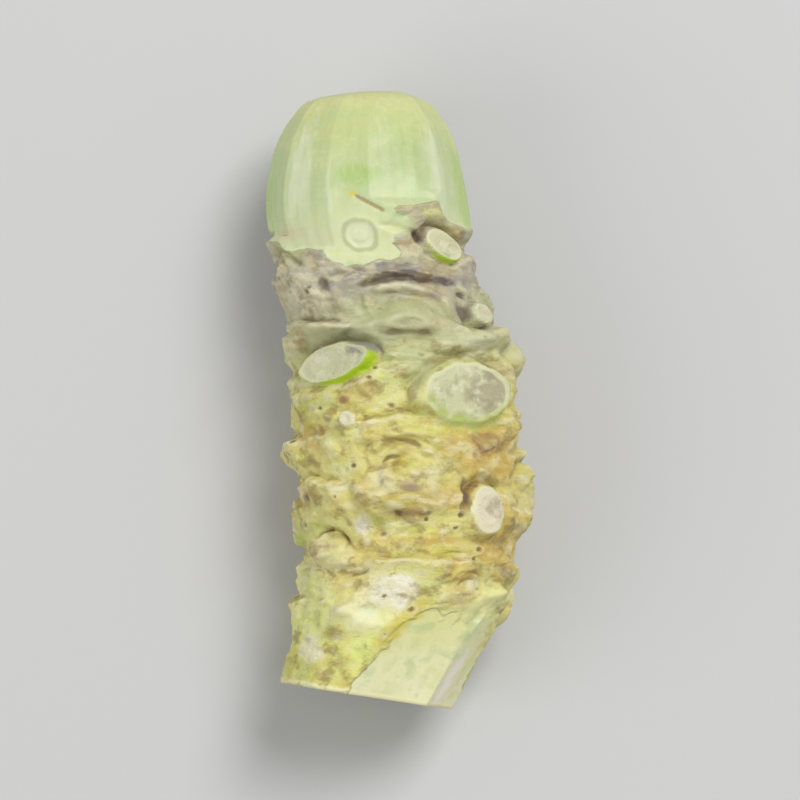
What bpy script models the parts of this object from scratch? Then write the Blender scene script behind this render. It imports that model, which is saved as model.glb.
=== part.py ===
"""Wasabi root: one trimmed rhizome, lying on its side.

The rhizome is a single grown piece. A knife has pared its crown smooth and cut
both ends. The bark between them carries the bases of the old leaves: thick
lips that clasp part of the way round, one every 137.5 degrees up the stem,
each with a bud, a bud scar or a cut side shoot above its middle.

Metres, +Z up. The root lies along Y with its crown towards +Y. The origin is
the middle of its footprint, on the surface that it rests on.

Places on the root are given as an angle round it, from the top towards +X, and
a height up the stem from the base cut towards the crown.
"""

import math
import random

import bmesh
import bpy
import numpy as np
from mathutils import Vector, noise

MM = 0.001
NAME = "wasabi_root"

# Stem: height up it, radius of the bare stem, and its sideways and vertical bow.
LENGTH = 55.3 * MM
STEM_STATIONS = np.array([-3, 4, 9, 15, 22, 29, 35, 38.5, 41, 43, 50, 59]) * MM
STEM_RADII = np.array([8.1, 8.5, 9.2, 9.4, 9.8, 9.5, 9.1, 8.5, 8.0, 9.0, 10, 10]) * MM
BOW_STATIONS = np.array([-3, 6, 12, 21, 31, 36, 40, 45, 59]) * MM
BOW_SIDEWAYS = np.array([-1.7, 1.8, 3.5, 3.6, 2.9, 1.8, 0.5, -0.2, 0.0]) * MM
BOW_UPWARD = np.array([-0.3, 0.0, 0.2, 0.4, 0.3, 0.2, 0.1, 0.0, 0.3]) * MM

# Leaf bases: the spiral that they follow, and the shape of one lip.
DIVERGENCE = math.radians(137.5)
LEAF_RISE = 1.8 * MM
FIRST_LEAF, LAST_LEAF = -14, 15
LEAF_ZERO_ANGLE = math.radians(-2)
LEAF_ZERO_HEIGHT = 20.3 * MM
LIP_HEIGHT = 1.05 * MM
LIP_SWELL = 3.4 * MM  # length of the swelling below a lip
LIP_EDGE = 0.45 * MM  # thickness of its rounded edge
LIP_SHELF = 0.5 * MM  # depth of the shelf above it, at its ends
LIP_CREASE = 0.3 * MM  # depth of the crease behind the shelf
LEAF_FACE = 1.7 * MM  # how much deeper the shelf is where the leaf stalk stood
LEAF_FACE_REACH = 0.42  # half the angle that the stalk took up
LIP_SAG = 1.0 * MM  # how much lower the middle of a lip is than its ends
LIP_TILT = 0.8 * MM  # the most that one end stands above the other
LIP_WAVE = 0.75 * MM
LIP_SWAY = 0.16  # how far its course strays round the stem

# Knife cuts. A paring is a flat stroke: its angle and, in millimetres, the height where it
# leaves the bark. At the base, the stroke's slope towards the middle follows.
CROWN_STATIONS = np.array([38, 41, 43, 46, 49, 51.5, 53.5, 55, 56, 58]) * MM
CROWN_APOTHEMS = np.array([7.6, 8.1, 8.6, 8.6, 8.1, 7.4, 6.3, 4.9, 2.6, 0.8]) * MM
# Crown strokes: angle, where each leaves the bark, and how far it stands out from the rest.
CROWN_PARINGS = (
    (-66, 42.6, 0.25), (-36, 41.2, 0.0), (-9, 40.4, 0.0), (14, 45.4, 0.0), (34, 46.4, 0.4),
    (66, 43.6, 0.2), (99, 43.4, 0.35), (133, 44.8, 0.0), (168, 42.2, 0.4), (203, 43.6, 0.0),
    (236, 44.8, 0.3), (267, 42.8, 0.3),
)
BASE_PARINGS = (
    (20, 8.6, 0.28), (70, 9.2, 0.2), (112, 6.0, 0.12), (196, 8.0, 0.12), (300, 5.0, 0.1),
)
# Shallow nicks in the outermost bark: angle, height, half width, half height, depth.
NICKS = (
    (-4, 10.1, 2.3, 1.8, 0.8), (215, 13.5, 3.0, 1.6, 0.4), (120, 33.5, 2.2, 1.3, 0.3),
    (160, 6.5, 2.6, 1.6, 0.4), (-100, 8.0, 2.4, 1.3, 0.3),
)
PARING_CUTS_IN = 0.3 * MM  # how far outside the bare stem a base stroke leaves the bark
CROWN_EXIT_SLOPE, BASE_EXIT_SLOPE = 1.2, 1.5
NICK_LEVEL = 0.75 * MM  # how far outside the bare stem a nick of no depth would lie
LEAST_TURN = 0.3  # cosine of the widest angle that one stroke reaches
BASE_CUT_FACING = Vector((0.158, 1, 0.03)).normalized()  # normals of the cuts, into the root
BASE_CUT_SET_BACK = 1.2 * MM
CROWN_CUT_FACING = Vector((0.08, -1, 0.05)).normalized()
REST_FLAT_DEPTH = 0.8 * MM  # how deep the flat under the root is pared

ROUND_STEPS = 250
LENGTH_STEPS = 230
KEPT_FACES = 0.099  # share of the fine faces that stays in the solid
OVERSHOOT = 2 * MM  # the blank runs past both end cuts by this
SEED = 11
BARK_COLOUR = (0.53, 0.51, 0.26)


def smooth_step(x):
    x = np.clip(x, 0, 1)
    return x * x * (3 - 2 * x)


def curve_through(stations, values, at):
    """A smooth curve through values at the stations, read at the given places."""
    slopes = np.gradient(values, stations)
    at = np.clip(at, stations[0], stations[-1])
    i = np.clip(np.searchsorted(stations, at) - 1, 0, len(stations) - 2)
    span = stations[i + 1] - stations[i]
    t = (at - stations[i]) / span
    return (
        (2 * t**3 - 3 * t**2 + 1) * values[i]
        + (t**3 - 2 * t**2 + t) * span * slopes[i]
        + (3 * t**2 - 2 * t**3) * values[i + 1]
        + (t**3 - t**2) * span * slopes[i + 1]
    )


def turned(angle):
    """The angle brought between minus and plus half a turn."""
    return (angle + math.pi) % (2 * math.pi) - math.pi


def rough(angle, height, size, seed):
    """Smooth noise from -1 to 1 over the root's surface, with bumps of the given size."""
    radius = STEM_RADII.mean()
    places = np.stack([radius * np.sin(angle), height, radius * np.cos(angle)], axis=1) / size
    offset = Vector((seed * 7.3, seed * -3.1, seed * 5.7))
    return np.array([noise.noise(Vector(place) + offset) for place in places])


def leaf_places():
    """Angle, height, half wrap and lip height of each leaf base, by its number up the stem."""
    draw = random.Random(SEED)
    places = {}
    for number in range(FIRST_LEAF, LAST_LEAF + 1):
        stray = draw.uniform(-5, 5), draw.uniform(-0.3, 0.3)
        round_it, up = STRAYS.get(number, stray)
        places[number] = {
            "angle": LEAF_ZERO_ANGLE + number * DIVERGENCE + math.radians(round_it),
            "height": LEAF_ZERO_HEIGHT + number * LEAF_RISE + up * MM,
            "wrap": draw.uniform(1.5, 2.1),
            "lip": LIP_HEIGHT * draw.uniform(0.75, 1.2),
            "tilt": LIP_TILT * draw.uniform(-1, 1),
        }
    return places


# Leaves that grew off the even spiral, by number: degrees round it and millimetres up it.
STRAYS = {
    13: (7, -2.2), 11: (-24, 0.3), 8: (-6, -1.2), 6: (-14, -0.8), 5: (-9, -0.2), 3: (-15, 0.3),
    2: (-28, 0), 0: (4, -1.2), -2: (2, 1.6), -3: (4, -1.8), -5: (4, -1.6), -8: (15, 2.8),
}
# What each leaf's axil holds, by the leaf's number: its kind, half width and half
# height, how far it stands out, how it leans up the stem and round it, and its roll.
AXILS = {
    13: ("eye", 1.6, 1.4, 0.12, 0, 0, 0),
    11: ("shoot", 2.1, 1.3, 0.6, -0.2, 0.0, -20),
    10: ("bud", 1.6, 0.9, 0.4, 0, 0, 0),
    9: ("shoot", 2.4, 2.0, 0.5, -0.1, 0.0, 0),
    8: ("arch", 4.6, 2.6, 0.75, 0, 0, 0),
    7: ("eye", 2.6, 2.0, 0.6, 0, 0, 0),
    6: ("bud", 2.6, 1.9, 1.5, 0, 0, 0),
    5: ("shoot", 4.6, 1.3, 0.3, -0.16, 0.05, 9),
    4: ("shoot", 3.0, 2.4, 0.6, -0.1, 0.0, 0),
    3: ("shoot", 4.7, 2.8, 0.7, -0.06, -0.04, 6),
    2: ("bud", 1.9, 1.5, 0.2, 0, 0, 0),
    1: ("shoot", 2.6, 2.2, 0.5, -0.1, 0.0, 0),
    0: ("eye", 3.2, 2.6, 0.5, 0, 0, -6),
    -1: ("eye", 3.0, 2.2, 0.6, 0, 0, 0),
    -2: ("bud", 2.8, 2.3, 1.3, 0, 0, 0),
    -3: ("bud", 1.9, 1.5, 0.9, 0, 0, 0),
    -4: ("shoot", 2.3, 2.0, 0.6, -0.1, 0.0, 0),
    -5: ("eye", 1.7, 1.3, 0.3, 0, 0, 0),
    -7: ("shoot", 2.7, 2.1, 0.4, -0.05, 0.0, 0),
    -8: ("arch", 2.6, 1.3, 0.3, 0, 0, -8),
}
PLAIN_AXIL = ("bud", 1.1, 0.8, 0.45, 0, 0, 0)
BARE_BELOW = 6 * MM  # the oldest axils, near the base cut, have nothing left in them
# Cut stumps of thick roots, which break out between the leaf bases: angle,
# height, half width and half height.
STUMPS = (
    (41, 17.6, 1.8, 2.2),
    (55, 35.3, 1.3, 0.9),
    (-30, 25.6, 0.8, 0.7),
    (150, 12.0, 1.5, 1.7),
    (-105, 16.5, 1.4, 1.6),
    (200, 24.0, 1.3, 1.5),
)


def knobs(leaves):
    """Each thing that stands out of the bark, as a dictionary of its place and shape."""
    found = []
    for number, leaf in leaves.items():
        if leaf["height"] < BARE_BELOW:
            continue
        kind, wide, high, stand, lean_up, lean_round, roll = AXILS.get(number, PLAIN_AXIL)
        found.append({
            "kind": kind,
            "angle": leaf["angle"],
            "height": leaf["height"] + (0.3 + 0.6 * high) * MM,
            "wide": wide * MM,
            "high": high * MM,
            "stand": stand * MM,
            "lean_up": lean_up,
            "lean_round": lean_round,
            "roll": math.radians(roll),
        })
    for angle, height, wide, high in STUMPS:
        found.append({
            "kind": "shoot",
            "angle": math.radians(angle),
            "height": height * MM,
            "wide": wide * MM,
            "high": high * MM,
            "stand": 0.7 * MM,
            "lean_up": -0.05,
            "lean_round": 0.0,
            "roll": 0.0,
        })
    for knob in found:
        knob["stem"] = float(curve_through(STEM_STATIONS, STEM_RADII, knob["height"]))
    return found


def local_place(knob, angle, height, warp=0):
    """Distances round and up from a knob's middle, and in shares of its oval outline."""
    off = turned(angle - knob["angle"])
    round_it = off * (knob["stem"] + 0.6 * MM)
    up = height - knob["height"]
    cos, sin = math.cos(knob["roll"]), math.sin(knob["roll"])
    across = (round_it * cos + up * sin) / knob["wide"]
    along = (-round_it * sin + up * cos) / knob["high"]
    return off, round_it, up, along, np.hypot(across, along) * (1 + warp)


def bell(x):
    return np.exp(-(x**2))


def leaf_relief(leaves, bumps, angle, height):
    """How far the leaf bases stand out of the bare stem."""
    pushed = height.copy()
    for knob in bumps:
        if knob["kind"] == "arch":
            continue
        off, _, up, _, share = local_place(knob, angle, height)
        pushed -= 0.55 * up * bell(share / 1.5) * (np.abs(off) < 1.5)
    wave = rough(angle, height, 4.5 * MM, 1) + 0.5 * rough(angle, height, 2.1 * MM, 2)
    wave = wave + 0.22 * rough(angle, height, MM, 14)
    sway = LIP_SWAY * rough(angle, height, 3.4 * MM, 15)
    ragged = 1.2 * rough(angle, height, 4.2 * MM, 3) + 0.6 * rough(angle, height, 1.5 * MM, 16)
    ragged = np.clip(0.85 + ragged, 0.06, 1.8)
    relief = np.zeros_like(height)
    crease = np.zeros_like(height)
    for leaf in leaves.values():
        off = turned(angle - leaf["angle"] + sway)
        hold = np.clip(1 - (off / leaf["wrap"]) ** 2, 0, 1) ** 0.7
        lip = leaf["height"] + LIP_SAG * (1 - np.cos(off)) * 0.5
        lip = lip + leaf["tilt"] * np.sin(off) + LIP_WAVE * wave
        over = pushed - lip
        swell = smooth_step(1 + (over + LIP_EDGE) / LIP_SWELL) ** 1.4
        depth = LIP_SHELF + LEAF_FACE * bell(off / LEAF_FACE_REACH)
        shelf = 1 - smooth_step(over / depth)
        out = leaf["lip"] * hold * ragged * np.where(over < 0, swell, shelf)
        relief = np.maximum(relief, out)
        behind = bell((over - depth) / (0.28 * MM))
        crease = np.maximum(crease, LIP_CREASE * hold * behind * np.minimum(ragged, 1) ** 1.5)
    relief = relief - crease * np.clip(1 - 1.5 * relief / LIP_HEIGHT, 0, 1)
    settled = 0.2 + 0.8 * smooth_step((height - 4 * MM) / (10 * MM))
    settled = settled * (1 - 0.8 * smooth_step((height - 42.5 * MM) / (2.5 * MM)))
    return relief * settled


def raise_knob(knob, angle, height, bark, warp):
    """The bark's radius with one bud, bud scar or cut shoot raised from it."""
    off, round_it, up, along, share = local_place(knob, angle, height, warp)
    near = (np.abs(off) < 1.2) & (share < 2.2)
    lower = smooth_step(0.5 - 0.9 * along / np.maximum(share, 0.3))
    if knob["kind"] == "bud":
        dome = knob["stand"] * np.clip(1 - share**2, 0, 1) ** 0.75
        crease = 0.3 * MM * bell((share - 1.08) / 0.16) * (1 - lower)
        return np.where(near, bark + dome - crease, bark)
    if knob["kind"] in ("eye", "arch"):
        upper = 1 - (0.65 if knob["kind"] == "eye" else 1) * lower
        share = share + 0.1 * rough(angle, height, 1.3 * MM, 33)
        broken = np.clip(0.7 + 1.3 * rough(angle, height, 1.7 * MM, 34), 0, 1)
        folds = 0.9 * bell(share / 0.3) + upper * broken * (
            0.9 * bell((share - 0.82) / 0.14) - 0.6 * bell((share - 0.6) / 0.1)
            - 0.6 * bell((share - 1.06) / 0.1) + 0.7 * bell((share - 1.28) / 0.12)
        )
        return np.where(near, bark + knob["stand"] * folds, bark)
    inside = np.maximum(share, 1)  # outside the outline, the rim's level is used
    level = knob["stem"] + 0.5 * LIP_HEIGHT + knob["stand"]
    level = level * math.cos(0.9 * knob["wide"] / knob["stem"])
    face = level / np.cos(off / inside)
    face = face + (knob["lean_up"] * up + knob["lean_round"] * round_it) / inside
    side = face - (share - 1) * np.minimum(knob["high"] * 3, 5 * MM)
    face = face + 0.1 * MM * bell((share - 0.6) / 0.1) - 0.15 * MM * np.clip(1 - share * 1.3, 0, 1)
    crease = (0.35 + 0.45 * (up > 0)) * MM * bell((share - 1.25) / 0.17)
    around = smooth_step((1.9 - share) / 0.9)
    bark = bark + around * np.minimum(face - 0.1 * MM - bark, 0)
    return np.where(near, np.where(share < 1, face, np.maximum(bark - crease, side)), bark)


def pare(angle, height, radius):
    """The radius left where the crown and the base are pared with flat strokes."""
    crown = curve_through(CROWN_STATIONS, CROWN_APOTHEMS, height)
    stem = curve_through(STEM_STATIONS, STEM_RADII, height) + PARING_CUTS_IN
    for stroke_angle, leaves_at, lift in CROWN_PARINGS:
        below = np.clip(leaves_at * MM - height, 0, None)
        radius = stroke(angle, radius, stroke_angle, crown + lift * MM, below * CROWN_EXIT_SLOPE)
    for stroke_angle, leaves_at, slope in BASE_PARINGS:
        above = height - leaves_at * MM
        rise = np.where(above < 0, above * slope, above * BASE_EXIT_SLOPE)
        radius = stroke(angle, radius, stroke_angle, stem, rise)
    return radius


def stroke(angle, radius, stroke_angle, level, rise):
    """The radius left by one flat stroke at the given level, lifted by its rise."""
    turn = np.cos(angle - math.radians(stroke_angle))
    flat = level / np.clip(turn, LEAST_TURN, 1) + rise
    return np.where(turn > LEAST_TURN, np.minimum(radius, flat), radius)


def graze(angle, height, radius):
    """The radius left by shallow nicks that take only the outermost bark."""
    stem = curve_through(STEM_STATIONS, STEM_RADII, height)
    for nick_angle, nick_height, wide, high, depth in NICKS:
        off = turned(angle - math.radians(nick_angle))
        share = np.hypot(off * stem / (wide * MM), (height - nick_height * MM) / (high * MM))
        level = stem + NICK_LEVEL - depth * MM + 0.9 * MM * np.clip(share - 0.75, 0, None) ** 2
        near = (np.abs(off) < 1) & (share < 2)
        radius = np.where(near, np.minimum(radius, level), radius)
    return radius


def root_radius(angle, height):
    """The root's outer radius at each angle and height."""
    leaves = leaf_places()
    bumps = knobs(leaves)
    stem = curve_through(STEM_STATIONS, STEM_RADII, height)
    stem = stem * (1 + 0.03 * rough(angle, height, 11 * MM, 4))
    bark = stem + leaf_relief(leaves, bumps, angle, height)
    bark = bark + 0.22 * MM * rough(angle, height * 2.0, 1.7 * MM, 5)
    bark = bark + 0.12 * MM * (0.5 - 2 * np.abs(rough(angle, height * 2.0, 1.3 * MM, 7)))
    warp = 0.08 * rough(angle, height, 2.8 * MM, 6)
    for knob in bumps:
        bark = raise_knob(knob, angle, height, bark, warp)
    return graze(angle, height, pare(angle, height, bark))


def shaped_mesh():
    """The root's surface, from a finely divided cylinder whose points are moved onto it."""
    shape = bmesh.new()
    bmesh.ops.create_cone(
        shape, cap_ends=True, segments=ROUND_STEPS, radius1=1, radius2=1, depth=1
    )
    uprights = [edge for edge in shape.edges if abs(edge.verts[0].co.z - edge.verts[1].co.z) > 0.5]
    bmesh.ops.subdivide_edges(shape, edges=uprights, cuts=LENGTH_STEPS - 1)
    places = np.array([vert.co for vert in shape.verts])
    angle = np.arctan2(places[:, 0], places[:, 1])
    height = (places[:, 2] + 0.5) * (LENGTH + 2 * OVERSHOOT) - OVERSHOOT
    radius = root_radius(angle, height)
    across = curve_through(BOW_STATIONS, BOW_SIDEWAYS, height) + radius * np.sin(angle)
    upward = curve_through(BOW_STATIONS, BOW_UPWARD, height) + radius * np.cos(angle)
    for vert, x, y, z in zip(shape.verts, across, height - LENGTH / 2, upward):
        vert.co = (x, y, z)
    bmesh.ops.triangulate(shape, faces=shape.faces)
    bmesh.ops.recalc_face_normals(shape, faces=shape.faces)
    mesh = bpy.data.meshes.new(NAME)
    shape.to_mesh(mesh)
    shape.free()
    return mesh


def knife(name, point, facing, collection):
    """A block that cuts away all that lies behind a plane, given by a point on it and its normal."""
    size = 3 * LENGTH
    bpy.ops.mesh.primitive_cube_add(size=size, location=point - facing * size / 2)
    block = bpy.context.object
    block.name = name
    block.rotation_mode = "QUATERNION"
    block.rotation_quaternion = Vector((0, 0, 1)).rotation_difference(facing)
    for holder in block.users_collection:
        holder.objects.unlink(block)
    collection.objects.link(block)
    block.hide_render = True
    block.display_type = "WIRE"
    return block


def cut(root, block):
    modifier = root.modifiers.new(block.name, "BOOLEAN")
    modifier.operation = "DIFFERENCE"
    modifier.object = block


def bark_material():
    material = bpy.data.materials.new("wasabi bark")
    material.use_nodes = True
    shader = material.node_tree.nodes["Principled BSDF"]
    shader.inputs["Base Color"].default_value = (*BARK_COLOUR, 1)
    shader.inputs["Roughness"].default_value = 0.5
    shader.inputs["Metallic"].default_value = 0.0
    return material


def box_of(obj):
    """Lowest and highest corner of an object as it stands after its modifiers."""
    bpy.context.view_layer.update()
    evaluated = obj.evaluated_get(bpy.context.evaluated_depsgraph_get())
    corners = np.array([evaluated.matrix_world @ Vector(corner) for corner in evaluated.bound_box])
    return corners.min(axis=0), corners.max(axis=0)


def main():
    for old in list(bpy.data.objects):
        bpy.data.objects.remove(old)
    root_collection = bpy.data.collections.new("wasabi root")
    knives = bpy.data.collections.new("knives")
    for collection in (root_collection, knives):
        bpy.context.scene.collection.children.link(collection)

    root = bpy.data.objects.new(NAME, shaped_mesh())
    root_collection.objects.link(root)
    root.data.materials.append(bark_material())
    thin = root.modifiers.new("fewer faces", "DECIMATE")
    thin.ratio = KEPT_FACES
    lowest = box_of(root)[0][2]

    base, tip = -LENGTH / 2, LENGTH / 2
    blocks = [
        knife("base_knife", Vector((0, base + BASE_CUT_SET_BACK, 0)), BASE_CUT_FACING, knives),
        knife("crown_knife", Vector((0, tip, 0)), CROWN_CUT_FACING, knives),
        knife("rest_knife", Vector((0, 0, lowest + REST_FLAT_DEPTH)), Vector((0, 0, 1)), knives),
    ]
    for block in blocks:
        cut(root, block)

    low, high = box_of(root)
    shift = Vector(((low[0] + high[0]) / -2, (low[1] + high[1]) / -2, -low[2]))
    for piece in (root, *blocks):
        piece.location += shift
    root.data.shade_smooth()


main()
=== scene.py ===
import math
import random

import bmesh
import bpy
import numpy as np
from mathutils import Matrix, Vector, noise


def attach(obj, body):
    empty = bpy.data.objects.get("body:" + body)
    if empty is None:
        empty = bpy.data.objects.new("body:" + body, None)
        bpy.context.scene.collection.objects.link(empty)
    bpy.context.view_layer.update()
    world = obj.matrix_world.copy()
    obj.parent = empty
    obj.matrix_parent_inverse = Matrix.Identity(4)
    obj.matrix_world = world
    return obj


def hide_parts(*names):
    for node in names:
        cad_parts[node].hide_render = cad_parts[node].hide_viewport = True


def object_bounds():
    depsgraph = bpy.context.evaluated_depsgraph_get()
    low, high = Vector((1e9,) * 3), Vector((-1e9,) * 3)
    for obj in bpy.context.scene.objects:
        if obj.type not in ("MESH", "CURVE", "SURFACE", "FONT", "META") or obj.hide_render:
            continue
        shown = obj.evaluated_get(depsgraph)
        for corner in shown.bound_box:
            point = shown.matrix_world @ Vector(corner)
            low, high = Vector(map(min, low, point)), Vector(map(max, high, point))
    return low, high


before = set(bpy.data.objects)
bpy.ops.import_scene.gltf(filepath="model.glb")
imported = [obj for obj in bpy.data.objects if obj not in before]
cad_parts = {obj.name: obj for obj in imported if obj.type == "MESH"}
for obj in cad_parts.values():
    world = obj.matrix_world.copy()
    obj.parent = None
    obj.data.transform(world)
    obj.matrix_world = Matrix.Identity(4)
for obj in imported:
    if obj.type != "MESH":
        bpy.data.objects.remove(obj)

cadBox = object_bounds()
mm = 0.001


def smoothStep(x):
    x = np.clip(x, 0, 1)
    return x * x * (3 - 2 * x)


def bell(x):
    return np.exp(-(x**2))


def turned(angle):
    # brought between minus and plus half a turn
    return (angle + math.pi) % (2 * math.pi) - math.pi


def curveThrough(stations, values, at):
    # a smooth curve through values at the stations, all in metres
    stations, values = np.array(stations) * mm, np.array(values) * mm
    slopes = np.gradient(values, stations)
    at = np.clip(at, stations[0], stations[-1])
    i = np.clip(np.searchsorted(stations, at) - 1, 0, len(stations) - 2)
    span = stations[i + 1] - stations[i]
    t = (at - stations[i]) / span
    start = (2 * t**3 - 3 * t**2 + 1) * values[i] + (t**3 - 2 * t**2 + t) * span * slopes[i]
    end = (3 * t**2 - 2 * t**3) * values[i + 1] + (t**3 - t**2) * span * slopes[i + 1]
    return start + end


def linearColour(sRgbHex):
    channels = [int(sRgbHex[i:i + 2], 16) / 255 for i in (1, 3, 5)]
    return tuple(c / 12.92 if c <= 0.04045 else ((c + 0.055) / 1.055) ** 2.4 for c in channels)


def addNode(tree, kind, settings, links):
    # one node, its settings by attribute or socket name, and what its sockets are linked from
    node = tree.nodes.new(kind)
    for name, value in settings.items():
        if isinstance(name, str) and hasattr(node, name):
            setattr(node, name, value)
        else:
            node.inputs[name].default_value = value
    for name, source in links.items():
        tree.links.new(source, node.inputs[name])
    return node


def newPiece(name, shape, materials):
    mesh = bpy.data.meshes.new(name)
    shape.to_mesh(mesh)
    shape.free()
    piece = bpy.data.objects.new(name, mesh)
    bpy.context.scene.collection.objects.link(piece)
    for material in materials:
        mesh.materials.append(material)
    return piece


# Heights up the root and widths are in millimetres, angles in degrees round it from the
# top towards +X. The same shape as the solid, with what the solid is too coarse for.
rootShape = {
    "around": 300, "along": 331, "baseRings": 15, "crownRings": 10,
    "ringHeights": [0, 7, 46, 55.3], "ringShares": [0, 0.085, 0.915, 1],
    "ringCrowding": 0.8,  # under 1, the rings across a cut lie closer towards its edge
    "length": 55.3,
    "stemStations": [-3, 4, 9, 15, 22, 29, 35, 38.5, 41, 43, 50, 59],
    "stemRadii": [8.1, 8.5, 9.2, 9.4, 9.8, 9.5, 9.1, 8.5, 8.0, 9.0, 10, 10],
    "bowStations": [-3, 6, 12, 21, 31, 36, 40, 45, 59],
    "bowSideways": [-1.7, 1.8, 3.5, 3.6, 2.9, 1.8, 0.5, -0.2, 0.0],
    "bowUpward": [-0.3, 0.0, 0.2, 0.4, 0.3, 0.2, 0.1, 0.0, 0.3],
    "baseCut": (1.2, -0.158, -0.03),  # height where it crosses the axis, slopes along x and z
    "crownCut": (55.3, 0.08, 0.05),
    "cutEdge": 0.5,  # how far the bruised edge of the base cut reaches up the bark
    "smoothings": 12,  # passes that level the surface, to find what stands above it
    "seed": 11,
}
# Rough relief of the bark and of the pared faces. Each row of noise is amount, size, seed.
roughRows = {
    "stem": (0.03, 11, 4),
    "bark": (0.22, 1.7, 5), "barkRidges": (0.12, 1.3, 7), "barkGrain": (0.06, 0.42, 8),
    "knobEdges": ((0.08, 2.8, 6), (0.04, 0.9, 9)),
    "crownDrag": (0.05, 0.9, 21), "baseDrag": (0.05, 0.8, 22),  # the blade's drag lines
}
# One leaf base: a lip that clasps the stem, a shelf above it and a crease behind that.
leafBase = {
    "divergence": 137.5, "rise": 1.8, "first": -14, "last": 15, "zeroAngle": -2, "zeroHeight": 20.3,
    "strayAngle": 5, "strayRise": 0.3, "wrap": (1.5, 2.1), "lipSpread": (0.75, 1.2),
    "lip": 1.05, "swell": 3.4, "edge": 0.45, "shelf": 0.5, "crease": 0.3, "creaseWidth": 0.28,
    "face": 1.7, "faceReach": 0.42, "sag": 1.0, "tilt": 0.8, "wave": 0.75,
    "parting": 0.55,  # how much a lip parts round what grows above it
    # rows of noise that wave the lip, sway it round the root and fray its edge
    "waves": ((1, 4.5, 1), (0.5, 2.1, 2), (0.22, 1.0, 14)),
    "sway": (0.16, 3.4, 15), "fray": (0.16, 0.8, 12),
    # how whole the lip is, on the mean and at the least and most, and what breaks it
    "whole": 0.85, "wholeRange": (0.06, 1.8), "breaks": ((1.2, 4.2, 3), (0.6, 1.5, 16)),
    "lineHeight": 0.05, "lineGap": 0.62, "linesReach": 3, "lineBreaks": (1.6, 2.6, 17),
    # leaves off the even spiral: degrees round it and millimetres up it
    "strays": {
        13: (7, -2.2), 11: (-24, 0.3), 8: (-6, -1.2), 6: (-14, -0.8), 5: (-9, 0.15), 3: (-15, 0.3),
        2: (-28, 0), 0: (4, -1.2), -2: (2, 1.6), -3: (4, -1.8), -5: (4, -1.6), -8: (15, 2.8),
    },
}
# What each leaf's axil holds: kind, half width, half height, stand, lean up, lean round,
# roll, then how green its lower rim is and how much its face has browned.
axils = {
    13: ("eye", 1.6, 1.4, 0.12, 0, 0, 0, 0.0, 0.0),
    11: ("shoot", 2.1, 1.3, 0.6, -0.2, 0.0, -20, 0.8, 0.5),
    10: ("bud", 1.6, 0.9, 0.4, 0, 0, 0, 0.0, 0.0),
    9: ("shoot", 2.4, 2.0, 0.5, -0.1, 0.0, 0, 0.8, 0.2),
    8: ("arch", 4.6, 2.6, 0.75, 0, 0, 0, 0.0, 0.0),
    7: ("eye", 2.6, 2.0, 0.6, 0, 0, 0, 0.3, 0.2),
    6: ("bud", 2.6, 1.9, 1.5, 0, 0, 0, 0.0, 0.0),
    5: ("shoot", 4.6, 1.6, 0.3, -0.16, 0.05, 9, 1.0, 0.2),
    4: ("shoot", 3.0, 2.4, 0.6, -0.1, 0.0, 0, 0.9, 0.1),
    3: ("shoot", 4.7, 2.8, 0.7, -0.06, -0.04, 6, 0.3, 0.9),
    2: ("bud", 1.9, 1.5, 0.2, 0, 0, 0, 0.0, 0.0),
    1: ("shoot", 2.6, 2.2, 0.5, -0.1, 0.0, 0, 0.7, 0.4),
    0: ("eye", 3.2, 2.6, 0.5, 0, 0, -6, 0.0, 0.9),
    -1: ("eye", 3.0, 2.2, 0.6, 0, 0, 0, 0.2, 0.3),
    -2: ("bud", 2.8, 2.3, 1.3, 0, 0, 0, 0.0, 0.0),
    -3: ("bud", 1.9, 1.5, 0.9, 0, 0, 0, 0.2, 0.0),
    -4: ("shoot", 2.3, 2.0, 0.6, -0.1, 0.0, 0, 0.8, 0.2),
    -5: ("eye", 1.7, 1.3, 0.3, 0, 0, 0, 0.0, 0.7),
    -7: ("shoot", 2.7, 2.1, 0.4, -0.05, 0.0, 0, 0.6, 0.1),
    -8: ("arch", 2.6, 1.3, 0.3, 0, 0, -8, 0.0, 0.0),
}
plainAxil = ("bud", 1.1, 0.8, 0.45, 0, 0, 0, 0.0, 0.0)
bareBelow = 6  # lower leaves have nothing in their axils
# Cut stumps of thick roots between the leaf bases: angle, height, half width, half height,
# green of the rim, browning, how creamy the cut is.
stumps = (
    (41, 17.6, 1.8, 2.2, 0.0, 0.8, 0.9),
    (55, 35.3, 1.3, 0.9, 0.3, 0.4, 0.35),
    (-30, 25.6, 0.8, 0.7, 0.0, 0.2, 0.8),
    (150, 12.0, 1.5, 1.7, 0.3, 0.3, 1.0),
    (-105, 16.5, 1.4, 1.6, 0.3, 0.5, 1.0),
    (200, 24.0, 1.3, 1.5, 0.2, 0.6, 1.0),
)
stumpStance = (0.7, -0.05, 0, 0)  # stand, lean up, lean round, roll
smallCut, smallCutCream = 2.5, 0.25  # what is narrower than this has a cut this creamy
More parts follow.
